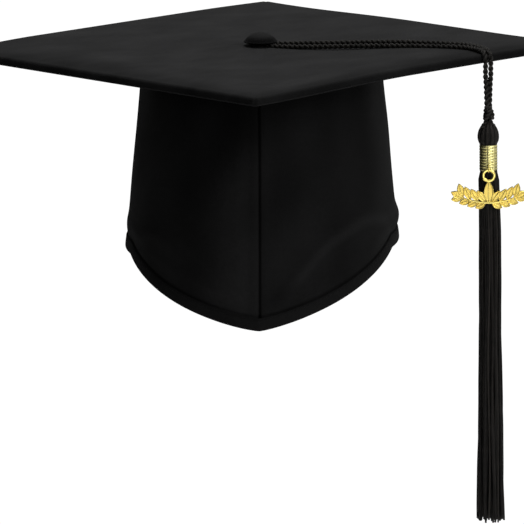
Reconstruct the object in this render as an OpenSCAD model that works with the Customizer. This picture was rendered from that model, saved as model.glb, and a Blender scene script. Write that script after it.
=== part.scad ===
// Graduation cap: a square cloth-covered board on a pointed skull crown, with
// a covered button, a looped cord, a tassel and a gilt charm.
// -Y is the wearer's front and +Z is up. The origin is the middle of the head
// opening, level with the crown's rim at the two sides of the head.

/* [Board] */
// Side of the square board
board_side = 241.3; // [230:0.1:250]
// Thickness of the stiff sheet inside the board
board_core_t = 3; // [2:0.5:4]
// Thickness of each cloth cover with its wadding
cover_t = 1; // [0.6:0.1:1.4]
// Radius of the board's corners
board_corner_r = 3; // [1:0.5:6]
// Width and depth of the rolled upper edge
board_roll = 2; // [1:0.5:2.5]

/* [Crown] */
// Height from the rim at the sides to the board
crown_h = 104; // [98:1:110]
// Width of the crown at the rim, across the head
rim_w = 152; // [146:1:158]
// Length of the crown at the rim, front to back
rim_l = 190; // [182:1:198]
// Width of the crown under the board
top_w = 134; // [126:1:140]
// Length of the crown under the board
top_l = 168; // [160:1:176]
// How far the front point hangs below the rim at the sides
front_drop = 31; // [26:1:38]
// How far the back hangs below the rim at the sides
back_drop = 10; // [4:1:16]
// How far the front seam stands out as a ridge
ridge = 3; // [0:0.5:5]
// Thickness of the crown cloth
cloth_t = 1.2; // [0.8:0.1:1.4]
// Thickness of the stiffening behind the cloth
stiff_t = 0.8; // [0.5:0.1:1]
// Height of the binding on the front rim
binding_h = 7; // [5:0.5:10]
// Width of the elastic in the back casing
elastic_w = 14; // [10:1:18]

/* [Button] */
// Diameter of the covered button
button_d = 18; // [16:1:20]
// Height of the button's dome
button_h = 5.8; // [5:0.1:7]
// Gap between board and button, where the cord loop sits
button_gap = 2.8; // [2.8:0.1:4.5]

/* [Cord] */
// Diameter of one strand of the cord
cord_d = 2.2; // [1.8:0.1:2.4]
// Radius of the loop round the button's neck
loop_r = 4.4; // [4:0.1:5]

/* [Tassel] */
// Radius of the knot above the tassel
knot_r = 3.25; // [2.6:0.05:3.4]
// Radius of the metallic band
band_r = 5; // [4.8:0.1:5.2]
// Height of the metallic band
band_h = 14.6; // [13.5:0.1:15]
// Radius of the skirt just below the band
skirt_top_r = 5.8; // [5.4:0.1:6]
// Radius of the skirt at its ragged end
skirt_end_r = 8; // [7:0.1:9]
// Length of the skirt
skirt_l = 197.6; // [150:0.1:210]

/* [Charm] */
// Thickness of the charm's plate
charm_t = 1.4; // [1:0.1:1.6]
// Length of one leaf on the charm
leaf_l = 8.4; // [7:0.1:9]
// Width of one leaf on the charm
leaf_w = 4.2; // [3.2:0.1:4.6]

/* [Hidden] */
$fn = 48;

cloth_black = [0.07, 0.07, 0.075];
lining_black = [0.11, 0.11, 0.12];
yarn_black = [0.14, 0.13, 0.12];
card_grey = [0.55, 0.52, 0.47];
steel = [0.7, 0.71, 0.72];
gold = [0.92, 0.74, 0.28];

// Clearance that keeps two layers or two moving pieces apart
gap = 0.2;
// Half a degree of room where the two crown panels meet
seam_room = 0.05;
board_t = board_core_t + 2 * cover_t;
board_top = crown_h + board_t;
core_side = board_side - 2 * cover_t;
// Steps that stand for the rolled upper edge
roll_steps = 3;

// Pin that holds the button, and what it passes through
pin_r = 1.5;
neck_r = 2.4;
hole_r = pin_r + 0.05;
washer_t = 0.8;
keeper_t = 0.8;
button_z = board_top + button_gap;
shell_t = 0.6;
plate_t = 0.8;
// Radius of the sphere that the button's dome is cut from
dome_r = (pow(button_d / 2, 2) + pow(button_h, 2)) / (2 * button_h);
dome_z = button_z + button_h - dome_r;

// Angles round the crown, from the front point, where parts of the rim end
side_a = 72;
casing_a = 108;
step_a = 4.5;
ridge_a = 28;
// Power that gives the front rim its nearly straight slope into the point
rim_power = 1.25;

// Insets of the crown's layers, from its outer surface inwards
stiff_in = cloth_t + gap;
tape_in = stiff_in + stiff_t + gap;
tape_t = 0.5;
tape_w = 6;
fold_t = 0.8;
casing_in = cloth_t + 1.7;
casing_t = 0.6;
casing_h = elastic_w + 4;

// Route of the pair of strands from the button to its knot: place, half the
// distance between the strands, and the direction from one strand to the other
cord_route = [
    [9, -2.2, 110.4, 5, 79],
    [16, -3.6, 110.4, 6, 79],
    [24, -5.2, 110.4, 6.6, 79],
    [42, -9, 110.4, 7, 78],
    [60, -12.5, 110.4, 7, 78],
    [76, -15.7, 110.4, 6.9, 78],
    [90, -18.8, 110.4, 6.5, 77],
    [101, -21.6, 110.4, 5.8, 74],
    [110, -24.8, 110.4, 4.8, 64],
    [116.4, -29.2, 110.4, 3.6, 46],
    [120.2, -34.8, 110.4, 2.6, 32],
    [122.6, -40, 110.4, 2, 23],
    [124.3, -44.4, 110.4, 1.7, 21],
    [125, -46.5, 109.8, 1.6, 21],
    [125.6, -47.9, 108.2, 1.6, 23],
    [125.8, -48.5, 106, 1.6, 25],
    [125.8, -48.5, 103.5, 1.6, 25]
];
// Route of the hanging pair, below the board's edge
drop_route = [
    [125.8, -48.5, 103.3, 1.6, 25],
    [125.8, -48.5, 100, 1.6, 25],
    [125.8, -48.5, 96, 1.3, 25],
    [125.8, -48.5, 92, 1.2, 25],
    [125.8, -48.5, 88, 1.15, 28],
    [125.8, -48.5, 84, 1.15, 35]
];
cord_sides = 8;
loop_z = 110.4;
// Direction in which the loop opens towards the cord
loop_open_a = -12;

// The tassel hangs on this axis; heights of its pieces
tassel_x = 125.8;
tassel_y = -48.5;
knot_z = 80;
leg_top_z = 76.3;
leg_spread = 1.95;
leg_lean = 30;
head_top_z = 73;
band_top_z = 61.7;
band_z = band_top_z - band_h;
band_wall = 0.5;
skirt_top_z = band_z - gap;
core_r = 3.2;
eye_r = 2;
eye_wire_r = 0.3;
ring_r = 3;
ring_wire_r = 0.7;
// Distance of the charm's plane in front of the tassel's axis
charm_out = 7.4;
charm_hinge_z = band_z + 1.5;
charm_z = charm_hinge_z - 13.2;
stem_r = 38;
stem_t = 1.2;
stem_drop = 5;
stem_reach = 14.8;
leaf_steps = 6;
middle_leaf_l = 13.5;
middle_leaf_w = 5.6;

// ---- Functions that shape the crown ----

// Angle from the front point, whichever way round the crown it is taken
function fold_angle(a) = a > 180 ? 360 - a : abs(a);

// How far the rim hangs below its sides: a pointed front, level sides, a
// shallow dip at the back
function rim_drop(a) =
    fold_angle(a) < side_a
        ? front_drop * (1 - pow(fold_angle(a) / side_a, rim_power))
        : fold_angle(a) > casing_a
            ? back_drop * (1 - cos((fold_angle(a) - casing_a) * 180 / (180 - casing_a))) / 2
            : 0;

// Half the crown's width and length at a height, tapering evenly to the board
function half_w(z) = (top_w + (rim_w - top_w) * (crown_h - z) / crown_h) / 2;
function half_l(z) = (top_l + (rim_l - top_l) * (crown_h - z) / crown_h) / 2;

// The low ridge along the front seam
function ridge_at(a) =
    fold_angle(a) < ridge_a ? ridge * pow(1 - fold_angle(a) / ridge_a, 2) : 0;

// A point of the crown wall: angle, height, inset from the outer surface
function crown_point(a, z, inset) = [
    (half_w(z) - inset) * sin(a),
    -(half_l(z) - inset) * cos(a) - ridge_at(a),
    z
];

// A point measured up from the rim in place of a height
function rim_point(a, rise, inset) = crown_point(a, rise - rim_drop(a), inset);

// How far each step of the board's rolled edge stands back
function roll_set_back(i) = board_roll * (1 - cos(asin((i - 0.5) / roll_steps)));

// ---- Functions that sweep a cord ----

// One strand of the pair: [centre, direction across the tube]
function strand(route, side) = [
    for (p = route)
        let (across = side * [cos(p[4]), sin(p[4]), 0])
        [[p[0], p[1], p[2]] + p[3] * across, across]
];

// The loop round the button's neck, from one strand to the other
function neck_turn() = [
    for (a = [loop_open_a + 45 : 30 : loop_open_a + 315])
        let (out = [cos(a), sin(a), 0])
        [[0, 0, loop_z] + loop_r * out, out]
];

function backwards(list) = [for (i = [len(list) - 1 : -1 : 0]) list[i]];

function unit(v) = v / norm(v);

// Direction of a path at one of its points
function heading(path, i) =
    unit(path[min(i + 1, len(path) - 1)][0] - path[max(i - 1, 0)][0]);

// Rings of points round each point of a path
function tube_rings(path, r) = [
    for (i = [0 : len(path) - 1])
        let (
            t = heading(path, i),
            u = unit(path[i][1] - (path[i][1] * t) * t),
            v = cross(t, u)
        )
        [for (k = [0 : cord_sides - 1])
            let (a = 360 * k / cord_sides)
            path[i][0] + r * (cos(a) * u + sin(a) * v)]
];

// ---- Shared shapes ----

// A closed solid through rings of points that all have the same count
module sweep(rings) {
    n = len(rings[0]);
    m = len(rings);
    polyhedron(
        points = [for (ring = rings) each ring],
        faces = concat(
            [[for (i = [0 : n - 1]) i]],
            [[for (i = [n - 1 : -1 : 0]) (m - 1) * n + i]],
            [for (r = [0 : m - 2], i = [0 : n - 1])
                [r * n + i, (r + 1) * n + i, (r + 1) * n + (i + 1) % n]],
            [for (r = [0 : m - 2], i = [0 : n - 1])
                [r * n + i, (r + 1) * n + (i + 1) % n, r * n + (i + 1) % n]]
        )
    );
}

// A layer of the crown wall between two angles, from a height to the rim
module crown_wall(a0, a1, top_z, rise, inset, t) {
    steps = ceil((a1 - a0) / step_a);
    sweep([
        for (i = [0 : steps])
            let (a = a0 + (a1 - a0) * i / steps)
            [
                rim_point(a, rise, inset),
                crown_point(a, top_z, inset),
                crown_point(a, top_z, inset + t),
                rim_point(a, rise, inset + t)
            ]
    ]);
}

// A strip that follows the rim with a section of [inset, rise] points
module rim_strip(a0, a1, section) {
    steps = ceil((a1 - a0) / step_a);
    sweep([
        for (i = [0 : steps])
            let (a = a0 + (a1 - a0) * i / steps)
            [for (p = section) rim_point(a, p[1], p[0])]
    ]);
}

// A flat square plate with round corners, turned corner to the front
module board_plate(side, r, z, t) {
    inner = side - 2 * r;
    translate([0, 0, z])
        rotate([0, 0, 45])
            linear_extrude(t)
                union() {
                    square([side, inner], center = true);
                    square([inner, side], center = true);
                    for (x = [-1, 1], y = [-1, 1])
                        translate([x * inner / 2, y * inner / 2])
                            circle(r);
                }
}

// The hole that the button's pin passes through
module pin_hole(r) {
    translate([0, 0, crown_h - 1])
        cylinder(h = board_t + 2, r = r);
}

// The part of a ball above a flat cut
module ball_cap(r, cut_z) {
    intersection() {
        translate([0, 0, dome_z])
            sphere(r);
        translate([0, 0, cut_z])
            cylinder(h = 2 * dome_r, r = 2 * dome_r);
    }
}

module at_tassel(z) {
    translate([tassel_x, tassel_y, z])
        children();
}

// A leaf outline: two equal arcs that meet at a point at each end, with the
// base at the origin
module leaf_outline(l, w) {
    half = [for (i = [0 : leaf_steps]) l * i / leaf_steps];
    function bulge(x) = 2 * w * (x / l) * (1 - x / l);
    polygon(concat(
        [for (x = half) [x, -bulge(x)]],
        [for (i = [leaf_steps - 1 : -1 : 1]) [half[i], bulge(half[i])]]
    ));
}

// ---- Board ----

module board_core() {
    color(card_grey)
        difference() {
            board_plate(core_side, board_corner_r - cover_t / 2, crown_h + cover_t, board_core_t);
            pin_hole(hole_r);
        }
}

module board_top_cover() {
    edge_h = board_t - cover_t - board_roll;
    color(cloth_black)
        difference() {
            union() {
                board_plate(board_side, board_corner_r, crown_h + cover_t, edge_h);
                for (i = [1 : roll_steps])
                    board_plate(
                        board_side - 2 * roll_set_back(i), board_corner_r,
                        crown_h + cover_t, edge_h + board_roll * i / roll_steps
                    );
            }
            board_plate(core_side, board_corner_r - cover_t / 2, crown_h, cover_t + board_core_t);
            pin_hole(hole_r);
        }
}

module board_bottom_cover() {
    color(cloth_black)
        difference() {
            board_plate(board_side, board_corner_r, crown_h, cover_t);
            pin_hole(hole_r);
        }
}

// ---- Crown ----

module crown_left_panel() {
    color(cloth_black)
        crown_wall(-180 + seam_room, -seam_room, crown_h, 0, 0, cloth_t);
}

module crown_right_panel() {
    color(cloth_black)
        crown_wall(seam_room, 180 - seam_room, crown_h, 0, 0, cloth_t);
}

module crown_left_stiffening() {
    color(lining_black)
        crown_wall(-casing_a + 3, -seam_room, crown_h, 0, stiff_in, stiff_t);
}

module crown_right_stiffening() {
    color(lining_black)
        crown_wall(seam_room, casing_a - 3, crown_h, 0, stiff_in, stiff_t);
}

module front_seam_tape() {
    color(lining_black)
        crown_wall(-3.5, 3.5, crown_h - 2, binding_h + 1, tape_in, tape_t);
}

module back_seam_tape() {
    color(lining_black)
        crown_wall(177, 183, crown_h - 2, casing_h + 1, stiff_in, tape_t);
}

module crown_top_tape() {
    steps = 80;
    color(lining_black)
        sweep([
            for (i = [0 : steps])
                let (a = -178 + 356 * i / steps)
                [
                    crown_point(a, crown_h - fold_t, tape_in),
                    crown_point(a, crown_h, tape_in),
                    crown_point(a, crown_h, tape_in + tape_w),
                    crown_point(a, crown_h - fold_t, tape_in + tape_w)
                ]
        ]);
}

module rim_binding() {
    outer = -gap - fold_t;
    inner = tape_in + gap;
    color(cloth_black)
        rim_strip(-casing_a + 1, casing_a - 1, [
            [-gap, binding_h],
            [-gap, -gap],
            [inner, -gap],
            [inner, binding_h - 1],
            [inner + fold_t, binding_h - 1],
            [inner + fold_t, -gap - fold_t],
            [outer, -gap - fold_t],
            [outer, binding_h]
        ]);
}

module elastic_casing() {
    color(cloth_black)
        rim_strip(casing_a, 360 - casing_a, [
            [0, -fold_t],
            [0, 0],
            [casing_in, 0],
            [casing_in, casing_h],
            [casing_in + casing_t, casing_h],
            [casing_in + casing_t, -fold_t]
        ]);
}

module elastic_band() {
    color(lining_black)
        rim_strip(casing_a + 1, 359 - casing_a, [
            [cloth_t + 2 * gap, 1],
            [cloth_t + 2 * gap, 1 + elastic_w],
            [casing_in - gap, 1 + elastic_w],
            [casing_in - gap, 1]
        ]);
}

module size_tab() {
    color("white")
        crown_wall(174, 186, 34, casing_h + 6, stiff_in + tape_t + gap, 0.4);
}

// ---- Button ----

module button_cover() {
    color(cloth_black)
        difference() {
            ball_cap(dome_r, button_z);
            ball_cap(dome_r - shell_t, button_z + shell_t);
            translate([0, 0, button_z - 1])
                cylinder(h = 2, r = 6);
        }
}

module button_shell() {
    color(steel)
        difference() {
            ball_cap(dome_r - shell_t, button_z + shell_t);
            ball_cap(dome_r - 2 * shell_t, button_z + shell_t - 1);
        }
}

module button_plate() {
    color(steel)
        difference() {
            translate([0, 0, button_z + shell_t])
                cylinder(h = plate_t, r = button_d / 2 - 2.3);
            translate([0, 0, button_z])
                cylinder(h = 3, r = hole_r);
        }
}

module button_neck() {
    pin_end = crown_h - washer_t - keeper_t - 0.4;
    color(steel)
        union() {
            translate([0, 0, board_top])
                cylinder(h = button_gap + shell_t, r = neck_r);
            translate([0, 0, pin_end])
                cylinder(h = button_z + shell_t + plate_t - pin_end, r = pin_r);
        }
}

module button_washer() {
    color(steel)
        difference() {
            translate([0, 0, crown_h - washer_t])
                cylinder(h = washer_t, r = 7);
            pin_hole(hole_r);
        }
}

module button_keeper() {
    color(steel)
        difference() {
            translate([0, 0, crown_h - washer_t - keeper_t])
                cylinder(h = keeper_t, r = 4);
            translate([0, 0, crown_h - 4])
                cylinder(h = 5, r = hole_r);
        }
}

// ---- Cord ----

module cord_on_board() {
    path = concat(
        backwards(strand(cord_route, 1)),
        neck_turn(),
        strand(cord_route, -1)
    );
    color(yarn_black)
        sweep(tube_rings(path, cord_d / 2));
}

module cord_drop() {
    color(yarn_black)
        for (side = [-1, 1])
            sweep(tube_rings(strand(drop_route, side), cord_d / 2));
}

// ---- Tassel ----

module tassel_knot() {
    color(yarn_black)
        at_tassel(knot_z)
            sphere(knot_r);
}

// Two legs of the cord that come out of the knot and go into the head
module neck_loop() {
    color(yarn_black)
        intersection() {
            for (side = [-1, 1])
                at_tassel((head_top_z + leg_top_z) / 2)
                    translate([side * leg_spread, 0, 0])
                        rotate([0, -side * leg_lean, 0])
                            cylinder(h = 9, r = cord_d / 2, center = true);
            at_tassel(head_top_z)
                cylinder(h = leg_top_z - head_top_z, r = 6);
        }
}

module tassel_head() {
    color(yarn_black)
        at_tassel(0)
            rotate_extrude()
                polygon([
                    [0, band_top_z],
                    [4.4, band_top_z],
                    [5.5, 63.3],
                    [6, 65.4],
                    [6.1, 67.6],
                    [5.7, 70],
                    [4.8, 72.2],
                    [3.9, head_top_z],
                    [0, head_top_z]
                ]);
}

// Thread that binds the yarn under the band
module neck_tie() {
    tie_r = band_r - band_wall - gap;
    color(yarn_black)
        at_tassel(band_top_z - 4)
            difference() {
                cylinder(h = 3, r = tie_r);
                translate([0, 0, -1])
                    cylinder(h = 5, r = core_r + gap);
            }
}

module gold_band() {
    color(gold)
        at_tassel(band_z)
            difference() {
                cylinder(h = band_h, r = band_r);
                translate([0, 0, -1])
                    cylinder(h = band_h + 2, r = band_r - band_wall);
            }
}

// The line of stitches that closes the band at the front
module band_seam_thread() {
    thread_r = 0.35;
    color(gold)
        at_tassel(band_z + 4)
            translate([0, -band_r - thread_r - 0.05, 0])
                cylinder(h = band_h - 5, r = thread_r);
}

// Wire eye at the foot of the band that the charm's ring hangs in
module charm_eye() {
    color(gold)
        at_tassel(charm_hinge_z + 0.3)
            translate([0, -charm_out + 0.7, 0])
                rotate([0, 90, 0])
                    rotate_extrude()
                        translate([eye_r, 0])
                            circle(eye_wire_r);
}

module skirt_core() {
    color(yarn_black)
        at_tassel(skirt_top_z - skirt_l + 3)
            cylinder(h = band_top_z - skirt_top_z + skirt_l - 3, r = core_r);
}

module skirt_strands() {
    color(yarn_black)
        at_tassel(skirt_top_z - skirt_l)
            rotate_extrude()
                polygon([
                    [core_r + gap, 0],
                    [skirt_end_r, 0],
                    [skirt_top_r + 0.6, skirt_l * 0.3],
                    [skirt_top_r, skirt_l * 0.75],
                    [skirt_top_r, skirt_l - 1],
                    [skirt_top_r - 0.8, skirt_l],
                    [core_r + gap, skirt_l]
                ]);
}

// ---- Charm ----

module charm_ring() {
    color(gold)
        at_tassel(charm_hinge_z - ring_r)
            translate([0, -charm_out, 0])
                rotate([90, 0, 0])
                    rotate_extrude()
                        translate([ring_r, 0])
                            circle(ring_wire_r);
}

// Height of the sprig's stem at a distance from the middle
function stem_y(x) = stem_r - stem_drop - sqrt(stem_r * stem_r - x * x);

// Half of the sprig: a curved stem, pairs of leaves, and a leaf at the tip
module sprig_half() {
    stem_x = [for (i = [0 : leaf_steps]) stem_reach * i / leaf_steps];
    polygon(concat(
        [for (x = stem_x) [x, stem_y(x) - stem_t / 2]],
        [for (i = [leaf_steps : -1 : 0]) [stem_x[i], stem_y(stem_x[i]) + stem_t / 2]]
    ));
    for (x = [1.5 : 4.2 : 14.1])
        let (lean = asin(x / stem_r))
        translate([x, stem_y(x)]) {
            rotate(lean + 52)
                leaf_outline(leaf_l, leaf_w);
            rotate(lean - 30)
                leaf_outline(leaf_l * 0.8, leaf_w * 0.9);
        }
    translate([stem_reach - 1.5, stem_y(stem_reach - 1.5)])
        rotate(26)
            leaf_outline(leaf_l, leaf_w);
}

module charm() {
    color(gold)
        at_tassel(charm_z)
            translate([0, -charm_out + charm_t / 2, 0])
                rotate([90, 0, 0])
                    linear_extrude(charm_t)
                        union() {
                            sprig_half();
                            mirror([1, 0])
                                sprig_half();
                            translate([0, -stem_drop - 1])
                                rotate(90)
                                    leaf_outline(middle_leaf_l, middle_leaf_w);
                        }
}

board_core();
board_top_cover();
board_bottom_cover();
crown_left_panel();
crown_right_panel();
crown_left_stiffening();
crown_right_stiffening();
front_seam_tape();
back_seam_tape();
crown_top_tape();
rim_binding();
elastic_casing();
elastic_band();
size_tab();
button_cover();
button_shell();
button_plate();
button_neck();
button_washer();
button_keeper();
cord_on_board();
cord_drop();
tassel_knot();
neck_loop();
tassel_head();
neck_tie();
gold_band();
band_seam_thread();
charm_eye();
skirt_core();
skirt_strands();
charm_ring();
charm();
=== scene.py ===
import math

import bmesh
import bpy
import numpy as np
from mathutils import Matrix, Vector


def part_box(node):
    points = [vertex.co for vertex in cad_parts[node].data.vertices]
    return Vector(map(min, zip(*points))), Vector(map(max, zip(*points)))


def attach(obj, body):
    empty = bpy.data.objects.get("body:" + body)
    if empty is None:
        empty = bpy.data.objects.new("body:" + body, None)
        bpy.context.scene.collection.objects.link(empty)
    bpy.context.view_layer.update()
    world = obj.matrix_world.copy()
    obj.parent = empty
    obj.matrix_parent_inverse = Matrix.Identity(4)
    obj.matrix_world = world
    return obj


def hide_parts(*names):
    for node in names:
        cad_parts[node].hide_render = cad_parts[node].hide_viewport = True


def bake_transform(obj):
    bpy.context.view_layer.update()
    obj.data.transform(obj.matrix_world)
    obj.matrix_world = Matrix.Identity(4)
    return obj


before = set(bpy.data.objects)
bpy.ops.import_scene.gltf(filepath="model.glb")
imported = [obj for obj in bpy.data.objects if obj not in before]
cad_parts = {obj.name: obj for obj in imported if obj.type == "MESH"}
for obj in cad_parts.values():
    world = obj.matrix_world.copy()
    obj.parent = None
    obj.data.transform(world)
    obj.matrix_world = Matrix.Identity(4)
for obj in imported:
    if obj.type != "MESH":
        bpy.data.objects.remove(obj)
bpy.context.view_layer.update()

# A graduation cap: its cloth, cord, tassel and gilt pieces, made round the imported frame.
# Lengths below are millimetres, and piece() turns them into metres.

MM = 0.001


def node_box(name):
    """Lowest and highest corner of a CAD node, in millimetres."""
    low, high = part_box(name)
    return np.array(low) / MM, np.array(high) / MM


# ---- Sizes that the frame gives ----

BOARD_UNDER = node_box("board_bottom_cover")[0][2]
BOARD_TOP = node_box("board_top_cover")[1][2]
CARD_LOW, CARD_HIGH = node_box("board_core")
BUTTON_LOW, BUTTON_HIGH = node_box("button_cover")
BAND_LOW, BAND_HIGH = node_box("gold_band")
KNOT_LOW, KNOT_HIGH = node_box("tassel_knot")
SKIRT_END = node_box("skirt_strands")[0][2]
TASSEL = np.array([*((BAND_LOW + BAND_HIGH) / 2)[:2], 0])
KNOT_Z = (KNOT_LOW + KNOT_HIGH)[2] / 2

# ---- Sizes that are the design's own ----

BOARD_SIDE = 241.3
CORNER_R = 3.0
ROLL = 2.0
CROWN_H = BOARD_UNDER
RIM_W, RIM_L = 152.0, 190.0
TOP_W, TOP_L = 132.6, 168.0
FRONT_DROP, BACK_DROP = 31.0, 10.0
SIDE_A, CASING_A, RIDGE_A = 72.0, 108.0, 28.0
RIM_POWER = 1.25
RIDGE = 3.0
LEAN = 1.5
CLOTH_T = 1.1
STIFF_IN, STIFF_T = 1.4, 0.8
TAPE_IN, TAPE_T = 2.4, 0.5
BINDING_H = 6.2
CORD_D = 2.2
CORD_FLUFF = 0.6  # how much wider the loose fibres make it
CORD_FREE_Z = 103.4  # below this the strands hang free of the board's edge
LOOP_R, LOOP_Z, LOOP_OPEN = 4.4, 110.4, -12.0
TWIST_PITCH = 5.8
BAND_SEAMS = (262, 298)  # directions of the band's two seams, in degrees
SKIRT_TOP = 60.5
RING_R = 3.0
FLOOR_Z, FLOOR_R = -450.0, 600.0

# Length of one degree round the crown: beside its seams, and on average
SEAM_MM, ARC_MM = 1.33, 1.4

# Route of the pair of strands from the button to the knot: place, half the
# distance between the strands, and the direction from one strand to the other
CORD_ROUTE = [
    [9, -2.2, 110.4, 5, 79],
    [16, -3.6, 110.4, 6, 79],
    [24, -5.2, 110.4, 6.6, 79],
    [42, -9, 110.4, 7, 78],
    [60, -12.5, 110.4, 7, 78],
    [76, -15.7, 110.4, 6.9, 78],
    [90, -18.8, 110.4, 6.5, 77],
    [101, -21.6, 110.4, 5.8, 74],
    [110, -24.8, 110.4, 4.8, 64],
    [116.4, -29.2, 110.4, 3.6, 46],
    [120.2, -34.8, 110.4, 2.6, 32],
    [122.6, -40, 110.4, 2, 23],
    [124.3, -44.4, 110.4, 1.7, 21],
    [125, -46.5, 109.8, 1.6, 21],
    [125.6, -47.9, 108.2, 1.6, 23],
    [125.8, -48.5, 106, 1.6, 25],
    [125.8, -48.5, 103.4, 1.6, 25],
    [125.8, -48.5, 100, 1.6, 25],
    [125.8, -48.5, 96, 1.3, 25],
    [125.8, -48.5, 92, 1.1, 25],
    [125.8, -48.5, 88, 1.0, 28],
    [125.8, -48.5, 84, 0.95, 35],
    [125.8, -48.5, 81, 0.9, 40],
]


# ---- Camera and light ----


def camera():
    """A long lens a little above the cap and in front of it, turned very slightly about its own
    line of sight."""
    azimuth, elevation, roll = np.radians([-1.119, 10.947, -0.558])
    target = np.array([-0.4, 0, -12.9]) * MM
    distance = 3.603
    field_of_view = math.radians(4.668)
    forward = np.array([
        math.sin(azimuth) * math.cos(elevation),
        math.cos(azimuth) * math.cos(elevation),
        -math.sin(elevation),
    ])
    level = np.cross(forward, [0, 0, 1])
    level /= np.linalg.norm(level)
    upright = np.cross(level, forward)
    right = math.cos(roll) * level + math.sin(roll) * upright
    up = -math.sin(roll) * level + math.cos(roll) * upright
    lens = bpy.data.cameras.new("camera")
    lens.sensor_width = 36
    lens.lens = lens.sensor_width / 2 / math.tan(field_of_view / 2)
    lens.clip_start, lens.clip_end = 0.1, 200
    held = bpy.data.objects.new("camera", lens)
    held.matrix_world = Matrix([
        [right[i], up[i], -forward[i], target[i] - distance * forward[i]] for i in range(3)
    ] + [[0, 0, 0, 1]])
    bpy.context.scene.collection.objects.link(held)
    bpy.context.scene.camera = held


camera()


def node(tree, kind, settings=None, inputs=None):
    """A node of one kind. An input is a number, a colour or another node's output."""
    made = tree.nodes.new(kind)
    for key, value in (settings or {}).items():
        setattr(made, key, value)
    for key, value in (inputs or {}).items():
        if isinstance(value, bpy.types.NodeSocket):
            tree.links.new(value, made.inputs[key])
        else:
            made.inputs[key].default_value = value
    return made


def maths(tree, operation, *values):
    """The result of a sum on numbers or outputs."""
    return node(tree, "ShaderNodeMath", {"operation": operation}, dict(enumerate(values))).outputs[0]


def between(tree, factor, low, high):
    """A number from low to high as the factor goes from 0 to 1."""
    return node(
        tree, "ShaderNodeMapRange", None, {"Value": factor, "To Min": low, "To Max": high}
    ).outputs[0]


def blended(tree, factor, first, second):
    """A colour from first to second as the factor goes from 0 to 1."""
    return node(
        tree, "ShaderNodeMix", {"data_type": "RGBA"}, {0: factor, 6: (*first, 1), 7: (*second, 1)}
    ).outputs[2]


def studio():
    """Pale surroundings, brighter above, below and to the right, and soft lamps."""
    world = bpy.data.worlds.new("studio")
    world.use_nodes = True
    tree = world.node_tree
    tree.nodes.clear()
    outward = node(tree, "ShaderNodeTexCoord").outputs["Generated"]
    way = node(tree, "ShaderNodeSeparateXYZ", None, {0: outward})
    side, lift, below = (
        node(tree, "ShaderNodeMapRange", None, {
            "Value": way.outputs[axis], "From Min": start, "From Max": end,
            "To Min": low, "To Max": high,
        }).outputs[0]
        for axis, start, end, low, high in (
            (0, -0.9, 0.6, 0.02, 0.55),
            (2, -0.4, 0.5, 0.3, 1.1),
            (2, -0.5, -0.7, 0.0, 1.1),
        )
    )
    seen = node(tree, "ShaderNodeLightPath").outputs["Is Camera Ray"]
    glow = node(tree, "ShaderNodeBackground", None, {
        "Strength": maths(tree, "MULTIPLY_ADD", side, lift, below),
    })
    white = node(tree, "ShaderNodeBackground", None, {"Color": (1, 1, 1, 1), "Strength": 1.05})
    choice = node(
        tree, "ShaderNodeMixShader", None, {0: seen, 1: glow.outputs[0], 2: white.outputs[0]}
    )
    node(tree, "ShaderNodeOutputWorld", None, {0: choice.outputs[0]})
    bpy.context.scene.world = world
    bpy.context.scene.view_settings.view_transform = "Standard"
    # Name, place and width in metres, and power in watts
    lamps = [
        ("lamp_low_front", (0.45, -2.3, -0.6), 1.5, 10.5),
        ("lamp_low_right", (2.1, -1.3, -0.5), 1.4, 4.5),
        ("lamp_above", (0.0, 0.5, 1.9), 1.6, 46),
        ("lamp_right", (1.4, -1.4, 1.15), 0.9, 11),
        ("lamp_left", (-1.8, -0.8, 0.7), 0.8, 0.8),
        ("lamp_back_right", (1.8, 0.9, 0.3), 0.6, 0.6),
    ]
    for name, place, size, power in lamps:
        light = bpy.data.lights.new(name, "AREA")
        light.shape, light.size, light.energy = "DISK", size, power
        held = bpy.data.objects.new(name, light)
        held.rotation_mode = "QUATERNION"
        held.rotation_quaternion = Vector(-np.array(place)).to_track_quat("-Z", "Y")
        held.location = place
        held.visible_camera = False
        bpy.context.scene.collection.objects.link(held)


# ---- Surfaces: grids of points, worked out as whole arrays ----


class Shape:
    """Points with four-cornered and three-cornered faces, and the place of each face corner on the
    cloth or yarn (uv, in millimetres)."""

    def __init__(self, points, quads, quad_uv, tris=None, tri_uv=None):
        self.points, self.quads, self.quad_uv = points, quads, quad_uv
        self.tris = np.zeros((0, 3), int) if tris is None else tris
        self.tri_uv = np.zeros((0, 3, 2)) if tri_uv is None else tri_uv

    def outward(self):
        """Turns every face over if the shape's signed volume is below nought."""
        p = self.points
        faces = np.concatenate([self.quads[:, :3], self.quads[:, [0, 2, 3]], self.tris])
        a, b, c = (p[faces[:, i]] - p.mean(0) for i in range(3))
        if (a * np.cross(b, c)).sum() < 0:
            self.quads, self.quad_uv = self.quads[:, ::-1], self.quad_uv[:, ::-1]
            self.tris, self.tri_uv = self.tris[:, ::-1], self.tri_uv[:, ::-1]
        return self


def together(shapes):
    """Several shapes as one: their arrays end to end, with the face numbers moved on."""
    starts = np.cumsum([0] + [len(s.points) for s in shapes])
    return Shape(
        np.concatenate([s.points for s in shapes]),
        np.concatenate([s.quads + start for s, start in zip(shapes, starts)]),
        np.concatenate([s.quad_uv for s in shapes]),
        np.concatenate([s.tris + start for s, start in zip(shapes, starts)]),
        np.concatenate([s.tri_uv for s in shapes]),
    )


def steps_between(points):
    """Distance along the first axis of an array of points, from nought."""
    gaps = np.linalg.norm(np.diff(points, axis=0), axis=-1)
    return np.concatenate([np.zeros((1, *gaps.shape[1:])), np.cumsum(gaps, axis=0)])


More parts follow.
